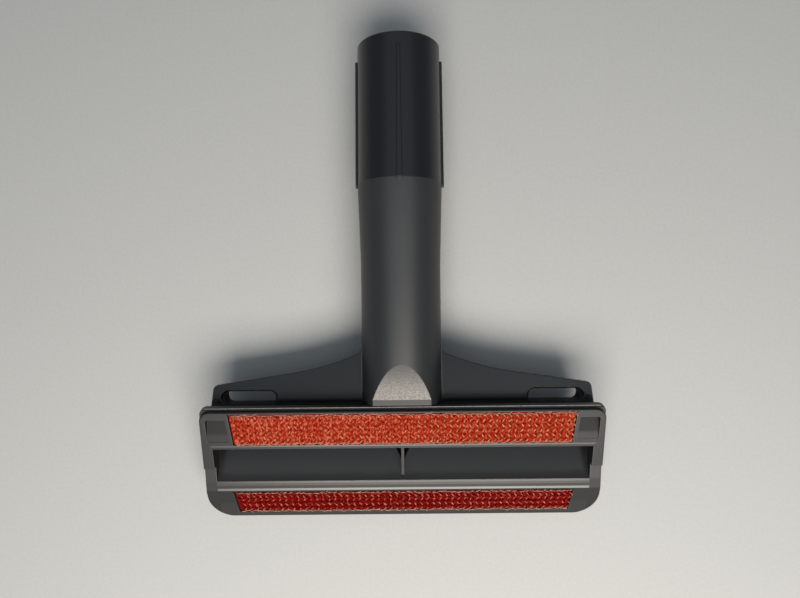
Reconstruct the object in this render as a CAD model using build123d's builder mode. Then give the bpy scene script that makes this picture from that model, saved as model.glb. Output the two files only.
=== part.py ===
from build123d import *
import math
import os

os.makedirs("parts", exist_ok=True)

# A wide upholstery nozzle, lying on its back as when it is put down: sole upwards, mouth of the socket
# towards +Y. The origin is the centre of the socket's mouth and the Y axis is the axis of the tube.
# Lengths are in millimetres and angles in degrees.

# Tube: a socket that slips over the wand, and a slimmer neck that carries on to the head
wand_diameter = 35.0
mouth_outer_radius = 19.5
socket_outer_radius = 20.0
socket_length = 68.0
shoulder_length = 36.0
neck_outer_radius = 18.9
tube_wall = 2.3
socket_bore_length = 38.0
bore_lead_length = 3.0
mouth_edge_bevel = 0.5

# Grip ribs, one in each quarter of the socket
rib_count = 4
rib_height = 1.1
rib_start = 6.5
rib_end = 66.5
rib_width_at_mouth = 1.4
rib_width_at_neck = 2.3

# Sole: its slope to the tube, and its rear edge, measured from the centre of the mouth
sole_slope = 18.5
rear_edge_distance = 170.15
rear_edge_height = 14.0
frame_half_width = 93.0
side_flare = 0.8
frame_depth = 1.8
frame_root = 1.0
frame_rear_inset = 0.6
ledge_overhang = 0.75
frame_corner_radius = 5.0
ledge_corner_radius = 3.4
side_step_position = 30.4
side_step_drop = 1.9
ridge_position = 42.4
rear_bar_thickness = 4.8
frame_edge_bevel = 0.5

# Front bar, bent back from the sole at the ridge
front_slope = 27.0
front_bar_length = 16.2
front_bar_thickness = 3.2
front_corner_radius = 12.5

# Suction slot and the air channel behind it
side_bar_width = 4.5
slot_rear_position = 19.6
slot_front_position = 37.85
lip_depth = 0.5
channel_mid_position = 31.0
channel_mid_depth = 7.2
channel_deep_position = 20.0
channel_deep_depth = 12.4
channel_rear_floor = 8.4
channel_wall = 2.3
rear_wall_clearance = 1.2
web_thickness = 1.2
web_depth = 1.0
web_end_position = 34.8
gully_start_distance = 175.0
gully_end_position = 36.0
gully_end_depth = 2.0
gully_height = 8.2
gully_flank_angle = 45.0
gully_shell_share = 0.9

# Lint strips: narrow trapezoids of pile fabric, glued into shallow recesses
strip_recess_depth = 1.5
strip_gap = 0.3
strip_thickness = 1.9
rear_strip_start = 1.5
rear_strip_end = 17.7
rear_strip_end_margin = 13.3
front_strip_start = 0.9
front_strip_end = 13.7
front_strip_end_margin = 12.1
strip_end_taper = 1.3
strip_fence_width = 0.7
strip_fence_height = 0.4

# Corner pockets beside the rear strip, deeper towards the rear
pocket_start = 4.4
pocket_end = 16.0
pocket_side_wall = 2.6
pocket_inner_wall = 1.5
pocket_depth_rear = 3.4
pocket_depth_front = 0.25
pocket_corner_radius = 1.2

# Wings: one flat plate through the middle of the tube, with a long slot at each end
wing_thickness = 2.4
wing_end_inset = 1.8
wing_end_slant = 8.0
wing_corner_distance = 160.0
wing_corner_radius = 2.6
wing_root_distance = 144.2
wing_shoulder_inset = 37.2
wing_shoulder_distance = 154.8
wing_slot_length = 25.8
wing_slot_width = 6.2
wing_slot_end_margin = 5.4
wing_slot_distance = 166.0
wing_slot_bevel = 0.6
wing_boss_wall = 1.8
wing_boss_depth = 10.0
wing_mark_radius = 1.6
wing_mark_depth = 0.2
wing_mark_end_margin = 2.8
wing_mark_distance = 168.0

# Flat cut on the tube in front of the sole, parallel to the sole
facet_drop = 2.0
facet_end_distance = 165.6
facet_lip_distance = 168.2
facet_lip_rise = 0.9
facet_groove_depth = 2.2

# Hood: the back of the duct, where it spreads from the round tube to the wide channel
hood_start_distance = 142.0
hood_start_inset = 0.5
hood_throat_distance = 154.0
hood_throat_half_width = 27.0
hood_throat_corner_radius = 17.0
hood_heel_half_width = 55.5
hood_heel_corner_radius = 11.0
hood_drop = 1.7
hood_end_distance = 187.0
hood_end_half_width = 62.0


def sole_point(position, depth):
    """Y and Z of a point at a distance down the sole from its rear edge, and at a depth below it."""
    slope = math.radians(sole_slope)
    y = -rear_edge_distance - position * math.cos(slope) + depth * math.sin(slope)
    z = rear_edge_height - position * math.sin(slope) - depth * math.cos(slope)
    return (y, z)


def front_point(position, depth):
    """Y and Z of a point at a distance down the front bar from the ridge, and at a depth below it."""
    slope = math.radians(front_slope)
    ridge_y, ridge_z = sole_point(ridge_position, 0)
    y = ridge_y - position * math.cos(slope) + depth * math.sin(slope)
    z = ridge_z - position * math.sin(slope) - depth * math.cos(slope)
    return (y, z)


def tilted_plane(point, slope):
    """A plane through a point of the middle section, tipped down towards the front by a slope."""
    angle = math.radians(slope)
    outwards = (0, -math.sin(angle), math.cos(angle))
    return Plane(origin=(0, point[0], point[1]), x_dir=(1, 0, 0), z_dir=outwards)


sole_plane = tilted_plane(sole_point(0, 0), sole_slope)
front_plane = tilted_plane(front_point(0, 0), front_slope)
side_plane = Plane(origin=(0, 0, 0), x_dir=(0, 1, 0), z_dir=(1, 0, 0))
out_of_sole = Axis((0, 0, 0), tuple(sole_plane.z_dir))

neck_bore_radius = neck_outer_radius - tube_wall
socket_bore_radius = wand_diameter / 2
wing_top = wing_thickness / 2
rear_wall_outer = -rear_edge_distance - rear_wall_clearance
rear_wall_inner = rear_wall_outer - channel_wall
rib_root_radius = (socket_bore_radius + mouth_outer_radius) / 2
hood_bottom = neck_outer_radius + hood_drop
hood_throat_bottom = (neck_outer_radius + hood_bottom) / 2
channel_bottom = channel_wall - sole_point(channel_deep_position, channel_deep_depth)[1]

duct_rise = (gully_start_distance + rear_wall_inner) / (hood_end_distance + rear_wall_inner)
duct_floor = channel_wall - hood_bottom + duct_rise * (hood_bottom - channel_bottom)
gully_start = (-gully_start_distance, duct_floor)
gully_end = sole_point(gully_end_position, gully_end_depth)
gully_wall = channel_wall / math.sin(math.radians(gully_flank_angle))

head_half_width = frame_half_width + side_flare
slot_half_width = frame_half_width - side_bar_width
housing_half_width = slot_half_width + channel_wall
rear_strip_half_length = frame_half_width - rear_strip_end_margin
front_strip_half_length = frame_half_width - front_strip_end_margin
pocket_outer_half_width = frame_half_width - pocket_side_wall
pocket_inner_half_width = rear_strip_half_length + pocket_inner_wall
wing_half_width = frame_half_width - wing_end_inset
wing_shoulder_half_width = wing_half_width - wing_shoulder_inset
wing_slot_centre = wing_half_width - wing_slot_end_margin - wing_slot_length / 2


# The outside of the tube, drawn as half of its section and turned about the Y axis
with BuildPart() as tube_shell:
    with BuildSketch(Plane.XY):
        with BuildLine():
            Polyline(
                (0, rear_wall_inner),
                (0, 0),
                (mouth_outer_radius, 0),
                (socket_outer_radius, -socket_length),
                (neck_outer_radius, -socket_length - shoulder_length),
                (neck_outer_radius, rear_wall_inner),
                (0, rear_wall_inner),
            )
        make_face()
    revolve(axis=Axis.Y)
    chamfer(tube_shell.edges().filter_by(GeomType.CIRCLE).sort_by(Axis.Y)[-1], mouth_edge_bevel)


# The grip ribs: four bars that widen towards the neck, trimmed to a skin that follows the socket
with BuildPart() as grip_ribs:
    for index in range(rib_count):
        rib_plane = Plane.XY.rotated((0, index * 360 / rib_count, 0))
        with BuildSketch(rib_plane):
            Polygon(
                (-rib_width_at_mouth / 2, -rib_start),
                (rib_width_at_mouth / 2, -rib_start),
                (rib_width_at_neck / 2, -rib_end),
                (-rib_width_at_neck / 2, -rib_end),
                align=None,
            )
        extrude(amount=socket_outer_radius + 2 * rib_height)
    with BuildSketch(Plane.XY):
        Polygon(
            (rib_root_radius, 0),
            (mouth_outer_radius + rib_height, 0),
            (socket_outer_radius + rib_height, -socket_length),
            (rib_root_radius, -socket_length),
            align=None,
        )
    revolve(axis=Axis.Y, mode=Mode.INTERSECT)


# The slab under the sole face: ledge, side notches, lip, ridge and front bar in one side profile
with BuildPart() as sole_slab:
    with BuildSketch(side_plane):
        Polygon(
            sole_point(-ledge_overhang, frame_depth),
            sole_point(side_step_position, side_step_drop),
            sole_point(ridge_position, 0),
            front_point(front_bar_length, 0),
            front_point(front_bar_length, front_bar_thickness),
            front_point(front_bar_thickness, front_bar_thickness),
            sole_point(slot_front_position, rear_bar_thickness),
            sole_point(-ledge_overhang, rear_bar_thickness - frame_edge_bevel),
            align=None,
        )
    extrude(amount=head_half_width + frame_depth, both=True)
    with BuildSketch(sole_plane):
        with BuildLine():
            side_line = Polyline(
                (0, ledge_overhang),
                (frame_half_width, ledge_overhang),
                (head_half_width, -side_step_position),
                (head_half_width, -ridge_position - front_bar_length),
                (0, -ridge_position - front_bar_length),
            )
            mirror(side_line, about=Plane.YZ)
        make_face()
        corners = vertices().filter_by(lambda corner: abs(corner.X) > frame_half_width / 2).sort_by(Axis.Y)
        fillet(corners[-2:], ledge_corner_radius)
        corners = vertices().filter_by(lambda corner: abs(corner.X) > frame_half_width / 2).sort_by(Axis.Y)
        fillet(corners[:2], front_corner_radius)
    extrude(amount=2 * head_half_width, both=True, mode=Mode.INTERSECT)


# The raised frame round the rear strip, the pockets and the slot
with BuildPart() as sole_frame:
    with BuildSketch(sole_plane.offset(-frame_depth - frame_root)):
        with BuildLine():
            frame_line = Polyline(
                (0, -frame_rear_inset),
                (frame_half_width, -frame_rear_inset),
                (head_half_width, -side_step_position),
                (0, -side_step_position),
            )
            mirror(frame_line, about=Plane.YZ)
        make_face()
        corners = vertices().filter_by(lambda corner: abs(corner.X) > frame_half_width / 2).sort_by(Axis.Y)
        fillet(corners[-2:], frame_corner_radius)
    extrude(amount=frame_depth + frame_root)
    chamfer(sole_frame.faces().sort_by(out_of_sole)[-1].edges().sort_by(Axis.Y)[1:], frame_edge_bevel)


# The housing behind the sole, a constant side profile closed at both ends
with BuildPart() as channel_housing:
    with BuildSketch(side_plane):
        with BuildLine():
            front_low = sole_point(slot_front_position + channel_wall, lip_depth + channel_wall)
            mid_low = sole_point(channel_mid_position + channel_wall / 2, channel_mid_depth + channel_wall)
            deep_low = sole_point(channel_deep_position, channel_deep_depth + channel_wall)
            rear_low = (rear_wall_outer, -channel_rear_floor - channel_wall)
            Spline(front_low, mid_low, deep_low, rear_low)
            Polyline(
                rear_low,
                (rear_wall_outer, sole_point(0, frame_depth)[1] - channel_wall),
                sole_point(slot_front_position + channel_wall, frame_depth),
                front_low,
            )
        make_face()
    extrude(amount=housing_half_width, both=True)


# The hood on the back, which spreads from round to wide, then slopes up to the channel's back
def hood_sections(inset):
    """Distance, half width, bottom and corner radius of each section, set in by a wall."""
    start_radius = neck_outer_radius - hood_start_inset
    sizes = [
        (hood_start_distance, start_radius, start_radius, start_radius - hood_start_inset),
        (hood_throat_distance, hood_throat_half_width, hood_throat_bottom, hood_throat_corner_radius),
        (-rear_wall_inner, hood_heel_half_width, hood_bottom, hood_heel_corner_radius),
        (hood_end_distance, hood_end_half_width, channel_bottom, channel_bottom / 2),
    ]
    sections = []
    for distance, half_width, bottom, radius in sizes:
        corner_radius = max(radius - inset, hood_start_inset)
        sections.append((distance, half_width - inset, bottom - inset, corner_radius))
    return sections


def draw_hood_section(distance, half_width, bottom, radius):
    """A rectangle in an upright plane across the tube, with its two lower corners rounded."""
    plane = Plane(origin=(0, -distance, 0), x_dir=(1, 0, 0), z_dir=(0, -1, 0))
    with BuildSketch(plane) as section:
        with Locations((0, (wing_top - bottom) / 2)):
            Rectangle(2 * half_width, wing_top + bottom)
        fillet(section.vertices().group_by(Axis.Y)[0], radius)
    return section.sketch


with BuildPart() as hood_shell:
    for section in hood_sections(0)[:3]:
        add(draw_hood_section(*section))
    loft()
    for section in hood_sections(0)[2:]:
        add(draw_hood_section(*section))
    loft(ruled=True)


with BuildPart() as hood_space:
    for section in hood_sections(channel_wall)[:3]:
        add(draw_hood_section(*section))
    loft()
    for section in hood_sections(channel_wall)[2:]:
        add(draw_hood_section(*section))
    loft(ruled=True)
    split(bisect_by=Plane.XY.offset(-wing_top), keep=Keep.BOTTOM)


# The wings: half of the plate's outline, mirrored, with a straight edge that sweeps up to the tube
with BuildPart() as wing_plate:
    with BuildSketch(Plane.XY.offset(-wing_top)):
        end_rise = rear_wall_outer + wing_corner_distance
        corner_x = wing_half_width + end_rise * math.tan(math.radians(wing_end_slant))
        with BuildLine():
            root = (neck_outer_radius - tube_wall / 2, -wing_root_distance)
            shoulder = (wing_shoulder_half_width, -wing_shoulder_distance)
            corner = (corner_x, -wing_corner_distance)
            wing_direction = Vector(corner[0] - shoulder[0], corner[1] - shoulder[1])
            sweep_up = TangentArc(shoulder, root, tangent=-wing_direction)
            wing_edge = Polyline(shoulder, corner, (wing_half_width, rear_wall_outer))
            back_edge = Polyline(
                (wing_half_width, rear_wall_outer),
                (wing_half_width, rear_wall_inner),
                (0, rear_wall_inner),
            )
            centre_edge = Polyline(root, (0, -wing_root_distance))
            mirror(sweep_up + wing_edge + back_edge + centre_edge, about=Plane.YZ)
        make_face()
        corners = vertices().filter_by(lambda corner: abs(corner.X) > wing_slot_centre)
        fillet(corners.sort_by(Axis.Y)[-2:], wing_corner_radius)
    extrude(amount=wing_thickness)
    for side in (-1, 1):
        with BuildSketch(Plane.XY.offset(-wing_boss_depth)):
            with Locations((side * wing_slot_centre, -wing_slot_distance)):
                SlotOverall(wing_slot_length + 2 * wing_boss_wall, wing_slot_width + 2 * wing_boss_wall)
        extrude(amount=wing_boss_depth)


# The air space: the wand's bore, the spread under the hood and the channel behind the slot
with BuildPart() as channel_space:
    with BuildSketch(side_plane):
        with BuildLine():
            lip_edge = sole_point(slot_front_position, -frame_depth)
            lip_foot = sole_point(slot_front_position, lip_depth)
            mid_floor = sole_point(channel_mid_position, channel_mid_depth)
            deep_floor = sole_point(channel_deep_position, channel_deep_depth)
            rear_floor = (rear_wall_inner, -channel_rear_floor)
            Spline(lip_foot, mid_floor, deep_floor, rear_floor)
            Polyline(
                rear_floor,
                (rear_wall_inner, sole_point(0, rear_bar_thickness)[1]),
                sole_point(slot_rear_position, rear_bar_thickness),
                sole_point(slot_rear_position, -frame_depth),
                lip_edge,
                lip_foot,
            )
        make_face()
    extrude(amount=slot_half_width, both=True)


with BuildPart() as duct_space:
    with BuildSketch(Plane.XY):
        lead_end = -socket_bore_length - bore_lead_length
        Polygon(
            (0, frame_depth),
            (socket_bore_radius, frame_depth),
            (socket_bore_radius, -socket_bore_length),
            (neck_bore_radius, lead_end),
            (neck_bore_radius, rear_wall_inner),
            (0, rear_wall_inner),
            align=None,
        )
    revolve(axis=Axis.Y)
    add(hood_space.part)
    split(bisect_by=sole_plane.offset(-rear_bar_thickness), keep=Keep.BOTTOM)


# A V-shaped gully along the middle of the channel's floor, from the duct up towards the lip
def gully_trough(drop, length_share):
    """A trough along the gully, lowered by a drop and cut to a share of the gully's length."""
    direction = Vector(0, gully_end[0] - gully_start[0], gully_end[1] - gully_start[1])
    half_width = gully_height * math.tan(math.radians(gully_flank_angle))
    with BuildPart() as trough:
        with BuildSketch(Plane(origin=(0, *gully_start), x_dir=(1, 0, 0), z_dir=(0, -1, 0))):
            Polygon(
                (0, -drop),
                (half_width, gully_height - drop),
                (-half_width, gully_height - drop),
                align=None,
            )
        extrude(amount=length_share * direction.length, dir=direction)
    return trough.part


# What is taken off the top of the tube: the facet, the low lip at its end and a narrow groove
with BuildPart() as facet_space:
    with BuildSketch(side_plane):
        clear_height = 2 * neck_outer_radius
        facet_slope = math.tan(math.radians(sole_slope))
        rear_y, rear_z = sole_point(0, 0)
        facet_rear_z = rear_z - facet_drop / math.cos(math.radians(sole_slope))
        facet_end_z = facet_rear_z + (rear_edge_distance - facet_end_distance) * facet_slope
        facet_start_y = rear_y + (clear_height - facet_rear_z) / facet_slope
        facet_lip_z = facet_end_z - (facet_lip_distance - facet_end_distance) * facet_slope + facet_lip_rise
        Polygon(
            (facet_start_y, clear_height),
            (-facet_end_distance, facet_end_z),
            (-facet_lip_distance, facet_lip_z),
            sole_point(-ledge_overhang, frame_depth + facet_groove_depth),
            sole_point(slot_rear_position, frame_depth + facet_groove_depth),
            sole_point(slot_rear_position, -clear_height),
            align=None,
        )
    extrude(amount=neck_outer_radius + frame_depth, both=True)


# The trapezoid of a lint strip on its own bar, as long as its recess less a gap all round
def draw_strip(start, end, half_length, gap):
    taper = strip_end_taper * (end - start - 2 * gap) / (end - start)
    long_side = half_length - gap
    Polygon(
        (-long_side, -start - gap),
        (long_side, -start - gap),
        (long_side - taper, -end + gap),
        (taper - long_side, -end + gap),
        align=None,
    )


# A low fence along each slanted end of a strip's recess
def draw_fences(start, end, half_length):
    for side in (-1, 1):
        Polygon(
            (side * half_length, -start),
            (side * (half_length + strip_fence_width), -start),
            (side * (half_length + strip_fence_width - strip_end_taper), -end),
            (side * (half_length - strip_end_taper), -end),
            align=None,
        )


# A pocket in each corner of the sole, whose floor rises towards the front
with BuildPart() as corner_pockets:
    with BuildSketch(sole_plane):
        pocket_taper = strip_end_taper * (pocket_end - pocket_start) / (rear_strip_end - rear_strip_start)
        Polygon(
            (pocket_inner_half_width, -pocket_start),
            (pocket_outer_half_width, -pocket_start),
            (pocket_outer_half_width, -pocket_end),
            (pocket_inner_half_width - pocket_taper, -pocket_end),
            align=None,
        )
        fillet(vertices(), pocket_corner_radius)
    extrude(amount=-rear_bar_thickness)
    pocket_rise = math.degrees(math.atan2(pocket_depth_rear - pocket_depth_front, pocket_end - pocket_start))
    pocket_floor = tilted_plane(sole_point(pocket_start, pocket_depth_rear), sole_slope - pocket_rise)
    split(bisect_by=pocket_floor, keep=Keep.TOP)
    mirror(about=Plane.YZ)


# The thin web in the middle of the slot, from the rear bar down to the bottom of the gully
with BuildPart() as centre_web:
    with BuildSketch(side_plane):
        web_root = slot_rear_position - web_thickness
        web_foot_y = sole_point(web_root, channel_deep_depth)[0]
        web_share = (gully_start[0] - web_foot_y) / (gully_start[0] - gully_end[0])
        web_foot_z = gully_start[1] + web_share * (gully_end[1] - gully_start[1]) - channel_wall / 2
        Polygon(
            sole_point(web_root, web_depth),
            sole_point(web_end_position, web_depth),
            sole_point(web_end_position, gully_end_depth + channel_wall),
            (web_foot_y, web_foot_z),
            align=None,
        )
    extrude(amount=web_thickness / 2, both=True)


with BuildPart() as nozzle_body:
    add(tube_shell.part)
    add(grip_ribs.part)
    add(hood_shell.part)
    add(channel_housing.part)
    add(gully_trough(gully_wall, gully_shell_share))
    add(wing_plate.part)
    add(facet_space.part, mode=Mode.SUBTRACT)
    add(sole_slab.part)
    add(sole_frame.part)
    add(channel_space.part, mode=Mode.SUBTRACT)
    add(duct_space.part, mode=Mode.SUBTRACT)
    add(gully_trough(0, 1), mode=Mode.SUBTRACT)
    add(corner_pockets.part, mode=Mode.SUBTRACT)
    add(centre_web.part)
    # fences at the strips' ends
    with BuildSketch(sole_plane.offset(-strip_recess_depth)):
        draw_fences(rear_strip_start, rear_strip_end, rear_strip_half_length)
    with BuildSketch(front_plane.offset(-strip_recess_depth)):
        draw_fences(front_strip_start, front_strip_end, front_strip_half_length)
    extrude(amount=strip_recess_depth + strip_fence_height)
    # recesses for the two lint strips
    with BuildSketch(sole_plane.offset(-strip_recess_depth)):
        draw_strip(rear_strip_start, rear_strip_end, rear_strip_half_length, 0)
    extrude(amount=2 * strip_recess_depth, mode=Mode.SUBTRACT)
    with BuildSketch(front_plane.offset(-strip_recess_depth)):
        draw_strip(front_strip_start, front_strip_end, front_strip_half_length, 0)
    extrude(amount=2 * strip_recess_depth, mode=Mode.SUBTRACT)
    # bevelled slots through the wings and their bosses, and a round ejector mark beside each
    for side in (-1, 1):
        with BuildSketch(Plane.XY.offset(wing_top)):
            with Locations((side * wing_slot_centre, -wing_slot_distance)):
                SlotOverall(wing_slot_length, wing_slot_width)
        extrude(amount=-wing_top - wing_boss_depth, mode=Mode.SUBTRACT)
        with BuildSketch(Plane.XY.offset(wing_top)):
            with Locations((side * wing_slot_centre, -wing_slot_distance)):
                SlotOverall(wing_slot_length + 2 * wing_slot_bevel, wing_slot_width + 2 * wing_slot_bevel)
        extrude(amount=-wing_slot_bevel, taper=45, mode=Mode.SUBTRACT)
        with BuildSketch(Plane.XY.offset(wing_top)):
            with Locations((side * (wing_half_width - wing_mark_end_margin), -wing_mark_distance)):
                Circle(wing_mark_radius)
        extrude(amount=-wing_mark_depth, mode=Mode.SUBTRACT)

nozzle_body.part.label = "nozzle_body"
export_step(nozzle_body.part, "parts/nozzle_body.step")


with BuildPart() as rear_lint_strip:
    with BuildSketch(sole_plane.offset(-strip_recess_depth)):
        draw_strip(rear_strip_start, rear_strip_end, rear_strip_half_length, strip_gap)
    extrude(amount=strip_thickness)

rear_lint_strip.part.label = "rear_lint_strip"
export_step(rear_lint_strip.part, "parts/rear_lint_strip.step")


with BuildPart() as front_lint_strip:
    with BuildSketch(front_plane.offset(-strip_recess_depth)):
        draw_strip(front_strip_start, front_strip_end, front_strip_half_length, strip_gap)
    extrude(amount=strip_thickness)

front_lint_strip.part.label = "front_lint_strip"
export_step(front_lint_strip.part, "parts/front_lint_strip.step")

print("solids in the body:", len(nozzle_body.part.solids()))
print("body volume:", round(nozzle_body.part.volume), "mm3")
print("overall size:", nozzle_body.part.bounding_box().size)
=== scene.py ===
# %% [markdown]
# A wide upholstery nozzle lies on its back: a round tube, two flat wings, and a sloping sole with a
# suction slot between two strips of red pile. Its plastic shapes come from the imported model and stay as
# they are. What is made here is how they look: the moulded finish, the pile, the light and the camera.

import math

import bpy
import numpy as np
from mathutils import Matrix, Vector


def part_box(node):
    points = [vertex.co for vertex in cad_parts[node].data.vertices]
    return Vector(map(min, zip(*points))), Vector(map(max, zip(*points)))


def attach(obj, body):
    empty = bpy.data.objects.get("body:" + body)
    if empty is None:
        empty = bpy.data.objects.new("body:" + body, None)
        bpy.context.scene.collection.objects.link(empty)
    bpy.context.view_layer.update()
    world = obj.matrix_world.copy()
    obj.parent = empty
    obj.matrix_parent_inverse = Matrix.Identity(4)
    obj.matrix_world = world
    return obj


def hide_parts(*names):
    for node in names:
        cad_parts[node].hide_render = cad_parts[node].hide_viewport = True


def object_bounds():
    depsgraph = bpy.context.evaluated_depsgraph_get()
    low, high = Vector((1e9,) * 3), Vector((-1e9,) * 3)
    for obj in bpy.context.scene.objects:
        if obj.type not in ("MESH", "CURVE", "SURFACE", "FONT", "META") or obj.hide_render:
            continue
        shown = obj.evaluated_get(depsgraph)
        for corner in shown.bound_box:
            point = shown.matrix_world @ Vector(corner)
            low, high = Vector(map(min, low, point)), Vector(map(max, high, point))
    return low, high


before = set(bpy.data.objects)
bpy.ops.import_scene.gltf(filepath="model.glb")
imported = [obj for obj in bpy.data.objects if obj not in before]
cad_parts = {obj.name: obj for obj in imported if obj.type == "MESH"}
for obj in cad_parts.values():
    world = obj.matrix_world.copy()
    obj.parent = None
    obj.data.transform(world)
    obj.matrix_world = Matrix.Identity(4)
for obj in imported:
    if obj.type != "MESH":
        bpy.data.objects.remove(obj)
MM = 0.001
cad_low, cad_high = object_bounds()
print("nozzle is", [round((high - low) / MM, 1) for low, high in zip(cad_low, cad_high)], "mm")

# %% [markdown]
# The camera looks almost straight down from 275 mm above the axis of the tube, as a phone held over a
# table would. A wide lens that close makes near things large, which is why the tube leans outwards at
# its mouth. The three small turns are how far the phone was from level.

# %% Camera
PHOTO_WIDTH = 800
FOCAL_PIXELS = 575.59
SENSOR_WIDTH = 36.0
CAMERA_PLACE = (1.1 * MM, -120.98 * MM, 275.14 * MM)
CAMERA_TURNS = {"X": -0.27, "Y": -0.33, "Z": 0.64}

camera_data = bpy.data.cameras.new("phone_camera")
camera_data.sensor_width = SENSOR_WIDTH
camera_data.lens = SENSOR_WIDTH * FOCAL_PIXELS / PHOTO_WIDTH
camera_data.clip_start = 10 * MM
camera = bpy.data.objects.new("phone_camera", camera_data)
bpy.context.scene.collection.objects.link(camera)

world_to_camera = Matrix.Identity(3)
for axis in ("X", "Y", "Z"):
    world_to_camera = Matrix.Rotation(math.radians(CAMERA_TURNS[axis]), 3, axis) @ world_to_camera
camera.matrix_world = Matrix.Translation(CAMERA_PLACE) @ world_to_camera.transposed().to_4x4()
bpy.context.scene.camera = camera
bpy.context.scene.view_settings.view_transform = "Standard"
print("lens", round(camera_data.lens, 2), "mm")

# %% [markdown]
# A finish is a small sum over positions: where the plastic is polished, how deep its grain is. Wired by
# hand that takes dozens of Math nodes, so one class wraps a socket and lets Python's own signs add them.
# A second class is the node tree, with one method that adds any other kind of node, and a third is a
# material, whose methods are the few steps that every finish here is made of.


# %% Shader arithmetic
def pick_socket(sockets, key):
    """The socket with a given number, identifier or name."""
    if isinstance(key, int):
        return sockets[key]
    return next(socket for socket in sockets if key in (socket.identifier, socket.name))


class Wire:
    """One output socket. Arithmetic on it adds Math nodes, so a formula reads as it would on paper."""

    def __init__(self, nodes, socket):
        self.nodes = nodes
        self.socket = socket

    def math(self, operation, first, second=0.0):
        """A Math node, with a wire or a number at each of its inputs."""
        return self.nodes.node("ShaderNodeMath", {"operation": operation}, {0: first, 1: second})

    def __add__(self, other):
        return self.math("ADD", self, other)

    __radd__ = __add__

    def __sub__(self, other):
        return self.math("SUBTRACT", self, other)

    def __rsub__(self, other):
        return self.math("SUBTRACT", other, self)

    def __mul__(self, other):
        return self.math("MULTIPLY", self, other)

    __rmul__ = __mul__

    def __abs__(self):
        return self.math("ABSOLUTE", self)

    def larger(self, other):
        """The larger of two masks, which joins the places that they cover."""
        return self.math("MAXIMUM", self, other)


class Nodes:
    """A node tree, emptied so that it holds only what is added here."""

    def __init__(self, tree):
        self.tree = tree
        self.tree.nodes.clear()

    def node(self, kind, settings=None, inputs=None, output=0):
        """Adds a node, makes its settings, gives its inputs values or links, and returns one output."""
        node = self.tree.nodes.new(kind)
        for key, value in (settings or {}).items():
            setattr(node, key, value)
        for key, value in (inputs or {}).items():
            socket = pick_socket(node.inputs, key)
            if isinstance(value, Wire):
                self.tree.links.new(value.socket, socket)
            else:
                socket.default_value = value
        return Wire(self, pick_socket(node.outputs, output))

    def finish(self, kind, surface):
        """Ends the tree with its output node."""
        output = self.tree.nodes.new(kind)
        self.tree.links.new(surface.socket, output.inputs["Surface"])


class Finish(Nodes):
    """One material."""

    def __init__(self, name):
        self.material = bpy.data.materials.new(name)
        self.material.use_nodes = True
        super().__init__(self.material.node_tree)

    def point(self):
        """The shaded point, in metres."""
        return self.node("ShaderNodeTexCoord", output="Object")

    def part(self, vector, axis):
        """One coordinate of a vector."""
        return self.node("ShaderNodeSeparateXYZ", inputs={0: vector}, output=axis)

    def rise(self, value, low, high):
        """0 below low, 1 above high, and a smooth S between them."""
        inputs = {"Value": value, "From Min": low, "From Max": high}
        return self.node("ShaderNodeMapRange", {"interpolation_type": "SMOOTHSTEP"}, inputs, "Result")

    def noise(self, point, size, detail=2.0):
        """Cloudy noise from 0 to 1, whose blobs are about one size wide."""
        inputs = {"Vector": point, "Scale": 1 / size, "Detail": detail}
        return self.node("ShaderNodeTexNoise", inputs=inputs, output="Fac")

    def blend(self, share, first, second):
        """The first colour where the share is 0 and the second where it is 1."""
        inputs = {"Factor_Float": share, "A_Color": first, "B_Color": second}
        return self.node("ShaderNodeMix", {"data_type": "RGBA"}, inputs, "Result_Color")

    def line(self, value, at, half_width):
        """1 where a value is at one number, and 0 once it is half_width away."""
        return 1 - self.rise(abs(value - at), half_width * 0.4, half_width)

    def shade(self, **inputs):
        """The surface shader, with an underscore in an input's name for each space."""
        named = {key.replace("_", " "): value for key, value in inputs.items()}
        self.finish("ShaderNodeOutputMaterial", self.node("ShaderNodeBsdfPrincipled", inputs=named))
        return self.material


# %% [markdown]
# The body is one moulding, but its mould wasn't finished evenly. The socket, the wings and the channel
# of the sole come from polished steel, so they are dark and mirror the dim sky. The neck, the cut at
# its end and the sole's raised frame come from spark-eroded steel, whose fine grain spreads the light
# and looks paler. One material does all of it, with masks worked out from the position on the part. A
# mask is 1 where a finish is and 0 elsewhere. A pair of lengths is the narrow band in which it turns.

# %% Where the plastic is polished
SOCKET_SEAM = -65.2 * MM
WING_ROOT = -144.0 * MM
SOLE_REAR = -170.0 * MM
NECK_END = -169.2 * MM
SEAM_BLEND = 0.3 * MM
THIN_BLEND = 0.1 * MM
BESIDE_NECK = (19.0 * MM, 19.3 * MM)
WING_SURFACE = (1.3 * MM, 1.5 * MM)

SOLE_SLOPE = math.radians(18.5)
SOLE_EDGE = (-170.15 * MM, 14.0 * MM)
SLOT_HALF_WIDTH = 88.5 * MM
POCKET_HALF_WIDTH = 90.4 * MM
HOLLOW_EDGE = (-0.2 * MM, 0.0)
FRAME_SKIN = (0.95 * MM, 1.4 * MM)
LEDGE = (0.3 * MM, 0.6 * MM)
REAR_BAR_START = (2 * MM, 3 * MM)
POCKETS_END = (17 * MM, 19 * MM)
FILLET_START = (37.2 * MM, 37.6 * MM)
FILLET_END = (38.6 * MM, 39.2 * MM)

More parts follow.
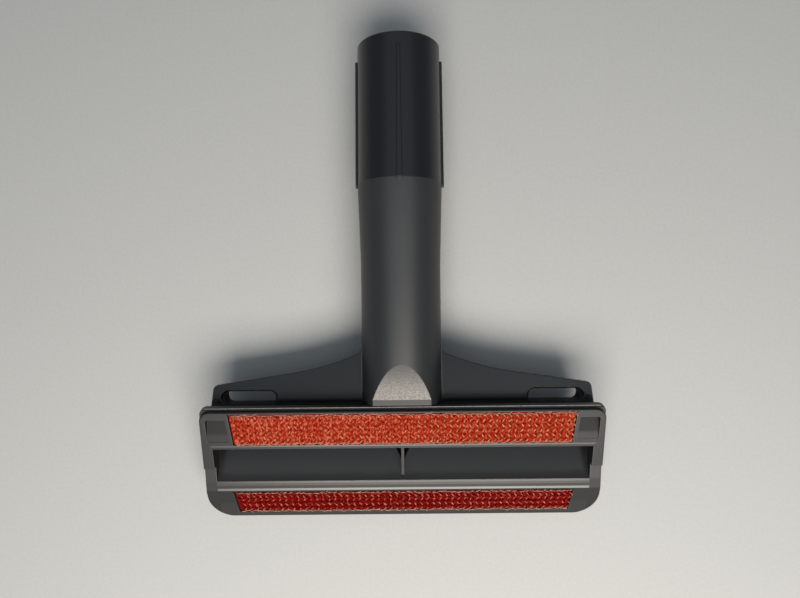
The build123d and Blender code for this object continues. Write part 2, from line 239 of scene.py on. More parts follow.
plastic = Finish("body_plastic")
point = plastic.point()
x, y, z = (plastic.part(point, axis) for axis in "XYZ")
on_socket = plastic.rise(y, SOCKET_SEAM - SEAM_BLEND, SOCKET_SEAM + SEAM_BLEND)
behind_sole = plastic.rise(y, SOLE_REAR - SEAM_BLEND, SOLE_REAR + SEAM_BLEND)
before_root = 1 - plastic.rise(y, WING_ROOT, WING_ROOT + SEAM_BLEND)
in_plate = 1 - plastic.rise(abs(z), *WING_SURFACE)
on_wing = plastic.rise(abs(x), *BESIDE_NECK) * behind_sole * before_root * in_plate

from_edge_y, from_edge_z = y - SOLE_EDGE[0], z - SOLE_EDGE[1]
down_sole = from_edge_y * -math.cos(SOLE_SLOPE) + from_edge_z * -math.sin(SOLE_SLOPE)
below_sole = from_edge_y * math.sin(SOLE_SLOPE) + from_edge_z * -math.cos(SOLE_SLOPE)
past_pockets = plastic.rise(down_sole, *POCKETS_END)
hollow_edge = past_pockets * (SLOT_HALF_WIDTH - POCKET_HALF_WIDTH) + POCKET_HALF_WIDTH
inside_edge = 1 - plastic.rise(abs(x) - hollow_edge, *HOLLOW_EDGE)
under_frame = plastic.rise(below_sole, *FRAME_SKIN) * plastic.rise(down_sole, *REAR_BAR_START)
lip_fillet = plastic.rise(down_sole, *FILLET_START) * (1 - plastic.rise(down_sole, *FILLET_END))
in_hollow = under_frame.larger(lip_fillet) * inside_edge
in_channel = in_hollow * past_pockets
in_pocket = in_hollow * (1 - past_pockets)
past_neck = 1 - plastic.rise(y, NECK_END, NECK_END + THIN_BLEND)
# Painted shade: the ledge at the sole's rear edge is matt but takes the dark polished colour, as shade in
# the crease under the edge
shaded_matt_ledge = behind_sole.larger(1 - plastic.rise(down_sole, *LEDGE)) * past_neck
polish = on_socket.larger(on_wing).larger(in_channel)
print("polish is masked with", len(plastic.tree.nodes), "nodes")

# %% [markdown]
# Use has rubbed the sharp edges and the crests of the lip smooth, so they glint. An edge is found by
# comparing two normals: the true one of a face, and one that a Bevel node bends round the edge. Where
# they disagree, the surface turns. The facet at the neck's end slopes gently down to the sole, so its
# faces are told by how far their normal leans towards the sole.

# %% Rubbed edges and the facet
EDGE_RADIUS = 0.5 * MM
EDGE_TURN = (0.015, 0.12)
EDGE_WEAR = 0.5
SOLE_TOP = (1.0 * MM, 1.5 * MM)
REAR_EDGE_GAP = (0.8 * MM, 1.2 * MM)

# Each crest has its distance down the sole, its half-width and how much it is worn
SLOT_CREST = (39.5 * MM, 0.5 * MM, 0.18)
RIDGE_CREST = (41.9 * MM, 0.8 * MM, 0.75)
BAR_CREST = (18.2 * MM, 0.5 * MM, 0.5)

FACET_LEAN = (0.12, 0.20)
FACET_HEIGHT = (2 * MM, 3 * MM)
FACET_BASE, FACET_TIP = -165.6 * MM, -149.0 * MM

soft_edge = plastic.node("ShaderNodeBevel", {"samples": 6}, {"Radius": EDGE_RADIUS})
flat_face = plastic.node("ShaderNodeNewGeometry", output="True Normal")
both_normals = {0: soft_edge, 1: flat_face}
agreement = plastic.node("ShaderNodeVectorMath", {"operation": "DOT_PRODUCT"}, both_normals, "Value")
on_edge = plastic.rise(1 - agreement, *EDGE_TURN)
on_sole = 1 - plastic.rise(y, NECK_END - THIN_BLEND, NECK_END + THIN_BLEND)
near_top = 1 - plastic.rise(below_sole, *SOLE_TOP)
slot_crest, ridge_crest, bar_crest = (
    plastic.line(down_sole, at, half_width) * wear
    for at, half_width, wear in (SLOT_CREST, RIDGE_CREST, BAR_CREST)
)
crests = (slot_crest + ridge_crest + bar_crest) * near_top * inside_edge
worn_edges = on_edge * plastic.rise(down_sole, *REAR_EDGE_GAP) * EDGE_WEAR
rubbed = crests.larger(worn_edges) * on_sole

lean_to_sole = plastic.part(flat_face, "Y") * -1
on_facet = plastic.rise(lean_to_sole, *FACET_LEAN) * (1 - on_sole) * plastic.rise(z, *FACET_HEIGHT)
# Painted highlight: the facet is painted brighter from its tip down to its base; the same ramp thins the
# coat near the tip
facet_highlight_ramp = plastic.rise(y * -1, -FACET_TIP, -FACET_BASE) * 0.9 + 0.1
print("edges and facet bring that to", len(plastic.tree.nodes), "nodes")

# %% [markdown]
# Four tones lie on the plastic: dark polish, paler grain, a channel colour that is dust near the lip and
# turns into near-black painted shade deep under the rear bar, and the sparkling coarse grain of the facet,
# painted bright as a highlight. Wide clouds make all of them a little uneven.

# %% Colour of the plastic
POLISHED_COLOUR = (0.0060, 0.0070, 0.0095, 1.0)
# Painted shade: near black, for the depth of the channel under the rear bar
DEEP_SHADE_COLOUR = (0.0015, 0.0018, 0.0030, 1.0)
GRAINED_COLOUR = (0.0130, 0.0140, 0.0162, 1.0)
DUSTY_COLOUR = (0.042, 0.042, 0.044, 1.0)
# Painted highlight: the facet's two colours, speckled by its grain, are far paler and warmer than the
# plastic
FACET_HIGHLIGHT_COLOURS = ((0.020, 0.019, 0.017, 1.0), (0.160, 0.152, 0.137, 1.0))
CLOUD_COLOURS = ((0.9, 0.9, 0.9, 1), (1.1, 1.1, 1.1, 1))
CLOUD_SIZE = 14 * MM
SPECKLE_SIZE = 0.75 * MM
SHADE_TO_DUST_BAND = (22 * MM, 40 * MM)

cloud = plastic.noise(point, CLOUD_SIZE, 3.0)
speckle = plastic.rise(plastic.noise(point, SPECKLE_SIZE), 0.35, 0.65)
# Painted shade: the channel turns from dust near the lip to near black deep under the rear bar
channel_dust_and_shade = plastic.blend(plastic.rise(down_sole, *SHADE_TO_DUST_BAND), DEEP_SHADE_COLOUR, DUSTY_COLOUR)
# Painted shade: the rear ledge takes the dark polished colour below, though it is matt
moulded_tone = plastic.blend(polish.larger(shaded_matt_ledge), GRAINED_COLOUR, POLISHED_COLOUR)
body_tone = plastic.blend(in_channel, moulded_tone, channel_dust_and_shade)
# Painted highlight: the facet takes its pale speckled colours, strongest at its base
tone = plastic.blend(on_facet * facet_highlight_ramp, body_tone, plastic.blend(speckle, *FACET_HIGHLIGHT_COLOURS))
clouded = plastic.node(
    "ShaderNodeMix",
    {"data_type": "RGBA", "blend_type": "MULTIPLY"},
    {"Factor_Float": 1.0, "A_Color": tone, "B_Color": plastic.blend(cloud, *CLOUD_COLOURS)},
    "Result_Color",
)
print("colour brings that to", len(plastic.tree.nodes), "nodes")

# %% [markdown]
# Gloss is worked out last. The grain is a Bump node that is nearly flat where the steel was polished.
# The crown of the neck and the rubbed edges carry a thin second gloss, which is the shader's coat, and
# the pockets and the ledge at the rear stay matt.

# %% Gloss and grain of the plastic
FINE_GRAIN_SIZE, COARSE_GRAIN_SIZE = 0.34 * MM, 0.9 * MM
GRAIN_DEPTH = 0.07 * MM
GRAINED_ROUGHNESS = 0.46
BELOW_SLOT = (37 * MM, 38 * MM)
CROWN_UPTURN = (0.45, 1.0)

fine_grain = plastic.noise(point, FINE_GRAIN_SIZE)
coarse_grain = plastic.noise(point, COARSE_GRAIN_SIZE)
grain = fine_grain * 0.7 + coarse_grain * 0.3
below_slot = plastic.rise(down_sole, *BELOW_SLOT)
roughness = GRAINED_ROUGHNESS + (fine_grain - 0.5) * 0.10
rougher_by = ((polish, -0.23), (in_pocket, 0.22), (shaded_matt_ledge, 0.34), (below_slot, 0.08), (on_socket, 0.10))
for place, change in rougher_by:
    roughness = roughness + place * change

crown = plastic.rise(plastic.part(soft_edge, "Z"), *CROWN_UPTURN)
on_neck = (1 - on_sole) * (1 - polish) * (crown * 0.36 + 0.06)
sheen = (on_neck * (1 - on_facet * (1 - facet_highlight_ramp))).larger(rubbed)
relief_height = grain * (1 - polish * 0.85)
relief_inputs = {"Strength": 1.0, "Distance": GRAIN_DEPTH, "Height": relief_height, "Normal": soft_edge}
relief = plastic.node("ShaderNodeBump", inputs=relief_inputs)
plastic.shade(
    Base_Color=clouded,
    Roughness=roughness,
    Coat_Weight=sheen,
    Coat_Roughness=0.40,
    Coat_IOR=2.0,
    Normal=relief,
)
print("plastic uses", len(plastic.tree.nodes), "nodes")

# %% [markdown]
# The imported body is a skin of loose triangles. Drawn as they are, a round tube shows its flats. Two
# modifiers mend that without moving a point: one joins the triangles at their corners, and a small node
# group shades across every edge that turns by less than a set angle, and keeps the others sharp.

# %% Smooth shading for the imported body
SHARP_TURN = math.radians(17)
WELD_DISTANCE = 0.001 * MM


def shade_by_angle():
    """A node group that smooths all faces and keeps edges sharp that turn by more than SHARP_TURN."""
    group = bpy.data.node_groups.new("shade_by_angle", "GeometryNodeTree")
    group.interface.new_socket("Geometry", in_out="INPUT", socket_type="NodeSocketGeometry")
    group.interface.new_socket("Geometry", in_out="OUTPUT", socket_type="NodeSocketGeometry")
    start = group.nodes.new("NodeGroupInput")
    smooth_faces = group.nodes.new("GeometryNodeSetShadeSmooth")
    smooth_faces.domain = "FACE"
    turn = group.nodes.new("GeometryNodeInputMeshEdgeAngle")
    gentle = group.nodes.new("FunctionNodeCompare")
    gentle.operation = "LESS_THAN"
    gentle.inputs[1].default_value = SHARP_TURN
    smooth_edges = group.nodes.new("GeometryNodeSetShadeSmooth")
    smooth_edges.domain = "EDGE"
    end = group.nodes.new("NodeGroupOutput")
    group.links.new(start.outputs[0], smooth_faces.inputs["Geometry"])
    group.links.new(smooth_faces.outputs[0], smooth_edges.inputs["Geometry"])
    group.links.new(turn.outputs["Unsigned Angle"], gentle.inputs[0])
    group.links.new(gentle.outputs[0], smooth_edges.inputs["Shade Smooth"])
    group.links.new(smooth_edges.outputs[0], end.inputs[0])
    return group


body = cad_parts["nozzle_body"]
weld = body.modifiers.new("join_triangles", "WELD")
weld.merge_threshold = WELD_DISTANCE
body.modifiers.new("shade_by_angle", "NODES").node_group = shade_by_angle()
body.data.materials.clear()
body.data.materials.append(plastic.material)
print("body has", len(body.data.polygons), "triangles")

# %% [markdown]
# The two lint strips are woven pile: short nylon fibres stand in rows of tufts on a thin backing, and
# all lean one way, so that the nozzle lets go of lint in one direction only. A strip is a trapezoid in a
# shallow recess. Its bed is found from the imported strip: a slab tilted by a known slope has only one
# length and thickness that fill its box.

# %% Where the strips lie
FRONT_SLOPE = math.radians(27.0)
END_TAPER = 1.2 * MM


class Bed:
    """The place of one strip: a corner line, a direction down the slope and a direction out of it."""

    def __init__(self, node, slope):
        low, high = (np.array(corner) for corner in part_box(node))
        cosine, sine = math.cos(slope), math.sin(slope)
        run, height = high[1] - low[1], high[2] - low[2]
        self.length = (run * cosine - height * sine) / (cosine**2 - sine**2)
        self.thickness = (height * cosine - run * sine) / (cosine**2 - sine**2)
        self.down = np.array([0.0, -cosine, -sine])
        self.out = np.array([0.0, -sine, cosine])
        self.foot = np.array([0.0, high[1], high[2] - self.thickness * cosine])
        self.half_width = high[0]

    def half_width_at(self, along):
        """Half the strip's width at a distance down the slope: it narrows evenly towards the front."""
        return self.half_width - END_TAPER * along / self.length

    def point(self, across, along, above):
        """Positions from three arrays: across the strip, down its slope and above the recess floor."""
        across, along, above = np.broadcast_arrays(across, along, above)
        sideways = np.array([1.0, 0.0, 0.0])
        in_bed = across[..., None] * sideways + along[..., None] * self.down + above[..., None] * self.out
        return self.foot + in_bed


rear_bed = Bed("rear_lint_strip", SOLE_SLOPE)
front_bed = Bed("front_lint_strip", FRONT_SLOPE)
for bed in (rear_bed, front_bed):
    measures = (bed.length, 2 * bed.half_width, bed.thickness)
    print("strip's length, width and thickness", [round(measure / MM, 2) for measure in measures], "mm")

# %% [markdown]
# Every new piece is an array of corners, worked out all at once, and a list of faces that name corners
# by number. Two helpers are enough. One turns them into an object that sits at the world's origin, and
# the other lists the faces of a closed outline that is carried along a path.


# %% A mesh from arrays
def make_mesh(name, vertices, faces):
    """A smooth mesh object at the world origin, from an array of corners and lists of corner numbers."""
    mesh = bpy.data.meshes.new(name)
    mesh.from_pydata(vertices.reshape(-1, 3).tolist(), [], faces)
    mesh.polygons.foreach_set("use_smooth", np.ones(len(mesh.polygons), bool))
    mesh.update()
    piece = bpy.data.objects.new(name, mesh)
    bpy.context.scene.collection.objects.link(piece)
    return piece


def tube_faces(rings, around):
    """Quads between neighbouring rings of a closed outline, and a cap on each end."""
    ring, step = np.meshgrid(np.arange(rings - 1), np.arange(around), indexing="ij")
    after = (step + 1) % around
    here, there = ring * around, (ring + 1) * around
    quads = np.stack([here + step, here + after, there + after, there + step], -1)
    caps = [list(range(around))[::-1], list(range((rings - 1) * around, rings * around))]
    return quads.reshape(-1, 4).tolist() + caps


# %% [markdown]
# The backing is a ribbon with rounded long edges. It is a closed outline carried from one end to the
# other: one number runs round the outline and the other runs along the strip. Its top is woven, so
# two sine waves, one each way, raise a low checker of threads.

# %% Backing of a strip
BACKING_HEIGHT = 0.8 * MM
BACKING_CORNERS = 96
BACKING_STEPS = 400
SQUARENESS = 0.25
WEAVE_PITCH = 1.0 * MM
WEAVE_HEIGHT = 0.07 * MM


def squared(wave):
    """A sine or cosine with fuller shoulders: its size raised to a power under 1, with its own sign."""
    return np.sign(wave) * np.abs(wave) ** SQUARENESS


def backing(bed, name):
    """
    The outline is a flat oval: along = L/2 (1 - cos) and above = H/2 (1 + sin), with the sine and cosine
    squared off. It is repeated at even steps from one end of the strip to the other.
    """
    turn = np.linspace(0, 2 * math.pi, BACKING_CORNERS, endpoint=False)
    along = bed.length / 2 * (1 - squared(np.cos(turn)))
    above = BACKING_HEIGHT / 2 * (1 + squared(np.sin(turn)))
    share = np.linspace(-1, 1, BACKING_STEPS)[:, None]
    across = share * bed.half_width_at(along)[None, :]
    weave = np.sin(2 * math.pi * across / WEAVE_PITCH) * np.sin(2 * math.pi * along / WEAVE_PITCH)
    raised = above + WEAVE_HEIGHT * weave * (above > BACKING_HEIGHT / 2)
    faces = tube_faces(BACKING_STEPS, BACKING_CORNERS)
    return make_mesh(name, bed.point(across, along[None, :], raised), faces)


# %% [markdown]
# The pile has four kinds of fibre: tufts, the stitches between them, the selvage along the cut edges,
# and a few stray hairs. Each kind is a table with one row for each property and one column for each
# fibre, so one formula can grow all of them at once. The weave sets out the strip in cells, one tuft in
# each. A fibre's shade is a plain number that the dye reads later: below 0.86 it is part of a tuft, at
# 1 it is pale thread, and at 1.5 it is tan.

# %% Fibres as tables
PITCH_ACROSS = 3.0 * MM
PITCH_ALONG = 2.75 * MM
EDGE_MARGIN = 0.30 * MM
LEAN_REACH = 0.9 * MM
PILE_ROOT = BACKING_HEIGHT - 0.1 * MM
BRIGHTEST_TUFT, PALE_SHADE, TAN_SHADE = 0.85, 1.0, 1.5
PALE_BAND, TAN_BAND = (0.86, 0.94), (1.1, 1.3)
PROPERTIES = ("across", "along", "root", "heading", "start", "end", "length", "radius", "shade")


def table(count, **values):
    """Rows in the order of PROPERTIES. A single value is repeated for every fibre."""
    return np.stack([np.broadcast_to(values[name], count) for name in PROPERTIES])


def grid(bed):
    """The middle of every cell of the weave, across and along, and the number of its row."""
    columns = round(2 * bed.half_width / PITCH_ACROSS)
    rows = round(bed.length / PITCH_ALONG)
    column, row = np.meshgrid(np.arange(columns) + 0.5, np.arange(rows) + 0.5, indexing="ij")
    along = (row / rows * bed.length).ravel()
    across = (2 * column / columns - 1).ravel() * (bed.half_width_at(along) - EDGE_MARGIN)
    return across, along, row.ravel() - 0.5


def keep_inside(bed, across, along, lean):
    """Moves roots back onto the strip, and leaves room at the end that the fibres lean towards."""
    room_above = EDGE_MARGIN + max(0.0, -math.cos(lean)) * LEAN_REACH
    room_below = EDGE_MARGIN + max(0.0, math.cos(lean)) * LEAN_REACH
    along = np.clip(along, room_above, bed.length - room_below)
    limit = bed.half_width_at(along) - EDGE_MARGIN
    return np.clip(across, -limit, limit), along


def from_left_to_right(bed, across, pair):
    """The first of two numbers on the left half of the strip, the second on the right, blended between."""
    share = np.clip((across / bed.half_width + 0.1) / 0.4, 0, 1)
    return pair[0] + (pair[1] - pair[0]) * share


for bed in (rear_bed, front_bed):
    print("strip is set out in", grid(bed)[0].size, "cells")

# %% [markdown]
# A tuft bursts out of its cell and bends over, all tufts the same way, but its outer fibres fan out a
# little. Seen close up, the fibres stick together in bunches of a few strands. One bunch shares a
# direction and a shade, so it shows as one short dash. A bunch's shade is lowered towards the rim of its
# tuft, as painted shade between the tufts, so the middle of a tuft is its brightest part.

# %% Tufts
TUFT_REACH_ACROSS, TUFT_REACH_ALONG = 1.15 * MM, 1.35 * MM
TUFT_FAN = 0.55
TUFT_RIM_SHADE = 0.32


def tufts(bed, lean, bend, bunches, strands, bright, chance):
    """
    So many bunches in a cell and strands in a bunch, heading one way and bent by so many degrees. Places
    in a cell are polar: the angle is even and the reach is the root of an even number, which fills a disc.
    """
    cell_across, cell_along, row = grid(bed)
    cell = np.repeat(np.arange(row.size), bunches)
    angle = chance.uniform(0, 2 * math.pi, cell.size)
    reach = np.sqrt(chance.uniform(0, 1, cell.size))
    bunch_across = cell_across[cell] + reach * np.cos(angle) * TUFT_REACH_ACROSS
    bunch_along = cell_along[cell] + reach * np.sin(angle) * TUFT_REACH_ALONG
    fan = TUFT_FAN * reach * np.cos(angle) * math.cos(lean)
    bunch_heading = lean - fan + chance.normal(0, 0.2, cell.size)
    # Painted shade: bunches are made darker the nearer they stand to the rim of their tuft
    usual_shade = from_left_to_right(bed, bunch_across, bright) - TUFT_RIM_SHADE * reach
    bunch_shade = np.clip(usual_shade + chance.normal(0, 0.24, cell.size), 0, BRIGHTEST_TUFT)
    bunch = np.repeat(np.arange(cell.size), strands)
    count = bunch.size
    aside, onward = chance.normal(0, 0.12 * MM, (2, count))
    across, along = keep_inside(bed, bunch_across[bunch] + aside, bunch_along[bunch] + onward, lean)
    return table(
        count,
        across=across,
        along=along,
        root=PILE_ROOT,
        heading=bunch_heading[bunch] + chance.normal(0, 0.2, count),
        start=np.radians(chance.normal(15, 8, count)),
        end=np.radians(chance.normal(bend, 12, count)),
        length=chance.normal(2.0, 0.2, count) * MM,
        radius=0.12 * MM,
        shade=bunch_shade[bunch],
    )


# %% [markdown]
# Stitches are the pale threads that hold the tufts to the backing. They lie almost flat and zigzag down
# between two columns, a few strands side by side. On part of the strip they have taken up the dye, so
# only a share of them is pale.


# %% Stitches
def stitches(bed, lean, each, pale, chance):
    """Threads that lie almost flat between two columns of tufts and turn the other way in each row."""
    across, along, row = (np.repeat(values, each) for values in grid(bed))
    count = row.size
    turn = np.where(row % 2 == 0, 1, -1) * chance.normal(0.65, 0.2, count)
    across, along = keep_inside(
        bed,
        across + PITCH_ACROSS / 2 - turn * 0.8 * MM + chance.normal(0, 0.10 * MM, count),
        along - 1.1 * MM + chance.normal(0, 0.12 * MM, count),
        lean,
    )
    is_pale = chance.uniform(0, 1, count) < from_left_to_right(bed, across, pale)
    return table(
        count,
        across=across,
        along=along,
        root=PILE_ROOT + chance.normal(1.50, 0.15, count) * MM,
        heading=turn,
        start=np.radians(65),
        end=np.radians(108),
        length=chance.normal(2.1, 0.25, count) * MM,
        radius=0.13 * MM,
        shade=np.where(is_pale, PALE_SHADE, chance.uniform(0.45, BRIGHTEST_TUFT, count)),
    )


# %% [markdown]
# The strip was cut from a wider cloth, and undyed thread shows along its two long cuts, laid end to end.
# A few hairs have also worked loose, and arch over everything else.


# %% Selvage and stray hairs
def selvage(bed, edge_along, spacing, chance):
    """Tan threads laid end to end along one cut edge, each a little askew."""
    count = round(2 * bed.half_width / spacing)
    along = edge_along + chance.normal(0, 0.10 * MM, count)
    across = np.linspace(-1, 1, count) * (bed.half_width_at(along) - 1.0 * MM)
    return table(
        count,
        across=across,
        along=along,
        root=PILE_ROOT + chance.normal(0.9, 0.15, count) * MM,
        heading=math.pi / 2 + chance.normal(0, 0.35, count),
        start=np.radians(60),
        end=np.radians(112),
        length=chance.normal(1.8, 0.35, count) * MM,
        radius=0.13 * MM,
        shade=TAN_SHADE,
    )


def strays(bed, count, chance):
    """Loose hairs, longer and thinner than the rest, that arch over the pile."""
    return table(
        count,
        across=chance.uniform(-0.9, 0.9, count) * bed.half_width,
        along=chance.uniform(0.2, 0.95, count) * bed.length,
        root=PILE_ROOT + 0.8 * MM,
        heading=chance.uniform(-math.pi, math.pi, count),
        start=np.radians(65),
        end=np.radians(112),
        length=chance.normal(4.5, 1.0, count) * MM,
        radius=0.07 * MM,
        shade=PALE_SHADE,
    )


# %% [markdown]
# A fibre is a bent spike: rings of three corners round its middle line, and a tip. The middle line
# comes from adding up short steps, whose angle from upright changes evenly from start to end. Two
# numbers stay on every corner for the dye: how far up its fibre it is, and that fibre's shade.

# %% Growing the fibres
RINGS = 3
SIDES = 3
THINNING = 0.35


def fibres(bed, name, fibre_table):
    """
    At a share s of its length a fibre points at the angle start + (end - start) s from upright. Each step
    moves its middle line by length / RINGS in that direction, and a ring stands square to the line.
    """
    across, along, root, heading, start, end, length, radius, shade = fibre_table
    count = across.size
    share = np.linspace(0, 1, RINGS + 1)
    tilt = start[:, None] + (end - start)[:, None] * share
    step = (length / RINGS)[:, None]
    forward = np.concatenate([np.zeros((count, 1)), np.cumsum(step * np.sin(tilt[:, 1:]), 1)], 1)
    upward = np.concatenate([np.zeros((count, 1)), np.cumsum(step * np.cos(tilt[:, 1:]), 1)], 1)
    sine, cosine = np.sin(heading)[:, None], np.cos(heading)[:, None]
    middle = np.stack([
        across[:, None] + forward * sine,
        along[:, None] + forward * cosine,
        root[:, None] + upward,
    ])

    corner = np.arange(SIDES) / SIDES * 2 * math.pi
    thin = radius[:, None, None] * (1 - THINNING * share[:RINGS])[None, :, None]
    side, face = thin * np.cos(corner), thin * np.sin(corner)
    lift = tilt[:, :RINGS, None]
    sine, cosine = sine[..., None], cosine[..., None]
    around = np.stack([
        side * cosine + face * np.cos(lift) * sine,
        face * np.cos(lift) * cosine - side * sine,
        -face * np.sin(lift),
    ])
    rings = bed.point(*(middle[:, :, :RINGS, None] + around)).reshape(count, RINGS * SIDES, 3)
    tips = bed.point(*middle[:, :, -1])[:, None, :]
    vertices = np.concatenate([rings, tips], 1)

    first = np.arange(count)[:, None, None] * (RINGS * SIDES + 1)
    ring, turn = np.meshgrid(np.arange(RINGS - 1), np.arange(SIDES), indexing="ij")
    after = (turn + 1) % SIDES
    below, above = ring * SIDES, (ring + 1) * SIDES
    sides = np.stack([below + turn, above + turn, above + after, below + after], -1)
    quads = sides.reshape(1, -1, 4) + first
    last = (RINGS - 1) * SIDES
    tip_faces = np.stack([last + after[0], last + turn[0], np.full(SIDES, RINGS * SIDES)], -1)[None] + first
    roots = np.arange(SIDES)[None, None, :] + first
    faces = []
    for group in (quads, tip_faces, roots):
        faces += group.reshape(-1, group.shape[-1]).tolist()
    piece = make_mesh(name, vertices, faces)

    height = np.tile(np.concatenate([np.repeat(share[:RINGS], SIDES), [1.0]]), count)
    for label, values in (("height", height), ("shade", np.repeat(shade, RINGS * SIDES + 1))):
        layer = piece.data.attributes.new(label, "FLOAT", "POINT")
        layer.data.foreach_set("value", values.astype(np.float32))
    return piece


# %% [markdown]
# Dyed nylon is a clear red. Its colour is painted darkest down at the roots, as painted shade between the
# tufts, and palest at the bent tips and the brightest bunches, as painted highlight; the tips are also the
# only glossy part. A material can read the two numbers that each corner carries, so one finish colours
# every kind of fibre. The backing cloth is plainer, and hardly shows through the pile.


# %% Dyed pile
CLOUD_IN_DYE = 9 * MM
CLOTH_FUZZ = 0.5 * MM
ROOT_SHADE_HEIGHTS = (0.0, 0.55)
TIP_HIGHLIGHT_BAND = (0.60, 1.30)
GLOSSY_SHADES, GLOSSY_HEIGHTS = (0.45, 0.85), (0.3, 0.8)


def dye(name, root, middle, tip, pale, tan):
    """
    Nylon fibre: the root colour, a painted shade, turns into the middle and then the tip colour, a painted
    highlight, up each fibre and on the brightest bunches. Shades near 1 take the pale colour of the
    stitches, and shades above that the tan of the selvage.
    """
    finish = Finish(name)
    height = finish.node("ShaderNodeAttribute", {"attribute_name": "height"}, output="Fac")
    shade = finish.node("ShaderNodeAttribute", {"attribute_name": "shade"}, output="Fac")
    cloud = finish.noise(finish.point(), CLOUD_IN_DYE)
    # Painted shade at the roots and painted highlight at the tips and brightest bunches
    root_to_middle_shade = finish.blend(finish.rise(height, *ROOT_SHADE_HEIGHTS), root, middle)
    brightness = height * 0.45 + shade * 0.9 + cloud * 0.35
    colour = finish.blend(finish.rise(brightness, *TIP_HIGHLIGHT_BAND), root_to_middle_shade, tip)
    threads = finish.blend(finish.rise(shade, *PALE_BAND), colour, pale)
    is_tan = finish.rise(shade, *TAN_BAND)
    undyed = finish.blend(is_tan, threads, tan)
    gloss = finish.rise(shade, *GLOSSY_SHADES) * finish.rise(height, *GLOSSY_HEIGHTS) * (1 - is_tan)
    finish.shade(
        Base_Color=undyed,
        Roughness=0.45,
        Specular_IOR_Level=0.06,
        Coat_Weight=gloss * 0.8,
        Coat_Roughness=0.30,
    )
    return finish.material


def woven(name, colour, pale):
    """Backing cloth: two colours in a fine weave."""
    finish = Finish(name)
    fuzz = finish.noise(finish.point(), CLOTH_FUZZ, 3.0)
    mixed = finish.blend(fuzz, colour, pale)
    finish.shade(Base_Color=mixed, Roughness=0.8 - fuzz * 0.1, Specular_IOR_Level=0.1)
    return finish.material


# %% [markdown]
# The rear strip is an orange red, and its stitches stand out pale on the right half and sink into
# brighter pile on the left. The front strip is the same cloth leaning the other way; its dye, backing and
# tufts are painted a deeper, darker red as painted shade, where the eye looks down into its pile. Both
# take their fibres from a seeded generator, so every run grows the same pile.

# %% Both strips
# Root colours are painted shade and tip colours painted highlight
REAR_ROOT_SHADE, REAR_MIDDLE = (0.32, 0.006, 0.000, 1), (0.60, 0.028, 0.003, 1)
REAR_TIP_HIGHLIGHT, REAR_PALE = (1.0, 0.30, 0.17, 1), (1.0, 0.50, 0.28, 1)
# Painted shade: the front strip is the same cloth as the rear one, painted a darker red
FRONT_ROOT_SHADE, FRONT_MIDDLE = (0.26, 0.000, 0.000, 1), (0.50, 0.003, 0.001, 1)
FRONT_TIP_HIGHLIGHT, FRONT_PALE = (0.85, 0.10, 0.06, 1), (0.95, 0.28, 0.21, 1)
TAN = (0.78, 0.50, 0.38, 1)
rear_dye = dye("rear_pile", REAR_ROOT_SHADE, REAR_MIDDLE, REAR_TIP_HIGHLIGHT, REAR_PALE, TAN)
front_shaded_dye = dye("front_pile", FRONT_ROOT_SHADE, FRONT_MIDDLE, FRONT_TIP_HIGHLIGHT, FRONT_PALE, TAN)
rear_cloth = woven("rear_backing", (0.25, 0.012, 0.004, 1), (0.42, 0.04, 0.012, 1))
front_shaded_cloth = woven("front_backing", (0.10, 0.001, 0.001, 1), (0.20, 0.004, 0.003, 1))

DOWN, UP = 0.0, math.pi
rear_chance, front_chance = np.random.default_rng(11), np.random.default_rng(12)
rear_fibres = np.concatenate([
    tufts(rear_bed, DOWN, bend=72, bunches=7, strands=5, bright=(0.64, 0.46), chance=rear_chance),
    stitches(rear_bed, DOWN, each=3, pale=(0.30, 0.95), chance=rear_chance),
    selvage(rear_bed, edge_along=rear_bed.length - 0.45 * MM, spacing=0.8 * MM, chance=rear_chance),
    selvage(rear_bed, edge_along=0.35 * MM, spacing=0.8 * MM, chance=rear_chance),
    strays(rear_bed, count=14, chance=rear_chance),
], 1)
front_fibres = np.concatenate([
    # Painted shade: the front tufts are given lower shades than the rear ones
    tufts(front_bed, UP, bend=62, bunches=10, strands=4, bright=(0.36, 0.42), chance=front_chance),
    stitches(front_bed, UP, each=3, pale=(0.70, 0.90), chance=front_chance),
    selvage(front_bed, edge_along=front_bed.length - 0.4 * MM, spacing=0.9 * MM, chance=front_chance),
    selvage(front_bed, edge_along=0.4 * MM, spacing=0.8 * MM, chance=front_chance),
    strays(front_bed, count=6, chance=front_chance),
], 1)
strips = {
    "rear_lint": (rear_bed, rear_fibres, rear_dye, rear_cloth, "rear_lint_strip", "rear_pile"),
    "front_lint": (front_bed, front_fibres, front_shaded_dye, front_shaded_cloth, "front_lint_strip", "front_pile"),
}
for label, (bed, fibre_table, dye_finish, cloth, node, slot) in strips.items():
    cloth_piece = backing(bed, label + "_backing")
    pile_piece = fibres(bed, label + "_pile", fibre_table)
    for piece, finish in ((cloth_piece, cloth), (pile_piece, dye_finish)):
        piece.data.materials.append(finish)
        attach(piece, "root")
        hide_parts(node)
    print(label, fibre_table.shape[1], "fibres")

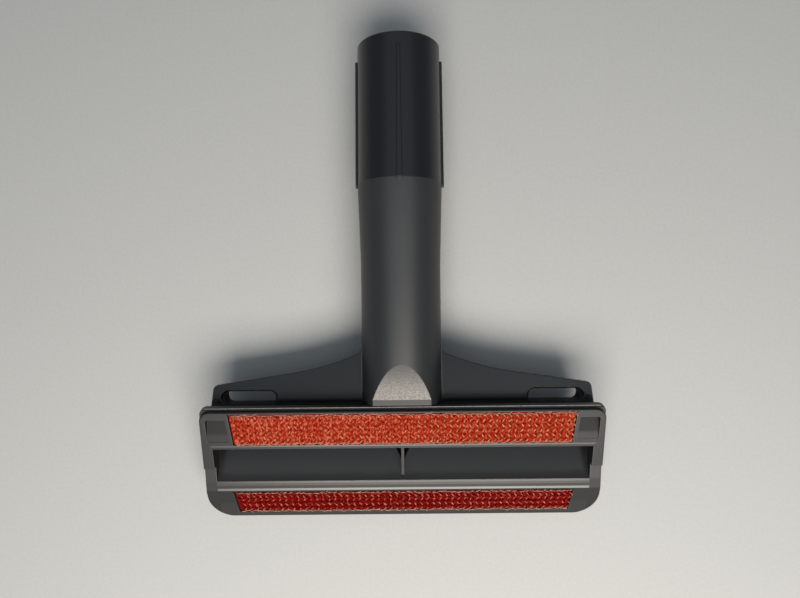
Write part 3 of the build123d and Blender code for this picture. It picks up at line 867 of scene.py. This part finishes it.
# %% [markdown]
# A plain pale floor and a soft studio light. The main lamp hangs high beyond the front edge of the
# nozzle, so its glow slides over the grained slopes and leaves the polished wings dark. A far wider and
# dimmer ceiling panel fills the shadows. The sky all round adds very little light, and is brighter only
# where it is looked at or mirrored. Together they light a flat white card to about white.

# %% Floor and light
FLOOR_HALF_SIZE = 1.5
FLOOR_COLOURS = ((0.54, 0.56, 0.57, 1), (0.62, 0.64, 0.65, 1))
SKY_COLOUR = (0.84, 0.93, 1.0, 1.0)
SKY_LIGHT, SKY_SEEN = 0.06, 0.16

floor_level = cad_low.z
card = np.array([[-1, -1, 0], [1, -1, 0], [1, 1, 0], [-1, 1, 0]]) * FLOOR_HALF_SIZE
floor = make_mesh("pale_floor", card + np.array([0, 0, floor_level]), [[0, 1, 2, 3]])
paper = Finish("pale_floor")
fleck = paper.noise(paper.point(), 1.5 * MM, 3.0)
paper.shade(Base_Color=paper.blend(fleck, *FLOOR_COLOURS), Roughness=0.75)
floor.data.materials.append(paper.material)


def soft_lamp(name, place, aim, size, watts, colour):
    """A lamp with a width and a height that faces a point."""
    data = bpy.data.lights.new(name, "AREA")
    data.shape = "RECTANGLE"
    data.size, data.size_y = size
    data.energy = watts
    data.color = colour
    lamp = bpy.data.objects.new(name, data)
    bpy.context.scene.collection.objects.link(lamp)
    lamp.location = place
    lamp.rotation_euler = (Vector(aim) - Vector(place)).to_track_quat("-Z", "Y").to_euler()


middle = (cad_low + cad_high) / 2
soft_lamp("window", (0.06, -0.545, 0.545), middle, (0.62, 0.40), 5.6, (1.0, 0.92, 0.82))
soft_lamp("ceiling", (0.0, -0.10, 1.50), middle, (2.40, 2.40), 6.2, (0.86, 0.94, 1.0))

world = bpy.data.worlds.new("even_sky")
world.use_nodes = True
sky = Nodes(world.node_tree)
brightness = SKY_LIGHT
for kind in ("Is Camera Ray", "Is Glossy Ray", "Is Transmission Ray"):
    brightness = sky.node("ShaderNodeLightPath", output=kind) * SKY_SEEN + brightness
sky_inputs = {"Color": SKY_COLOUR, "Strength": brightness}
sky.finish("ShaderNodeOutputWorld", sky.node("ShaderNodeBackground", inputs=sky_inputs))
bpy.context.scene.world = world
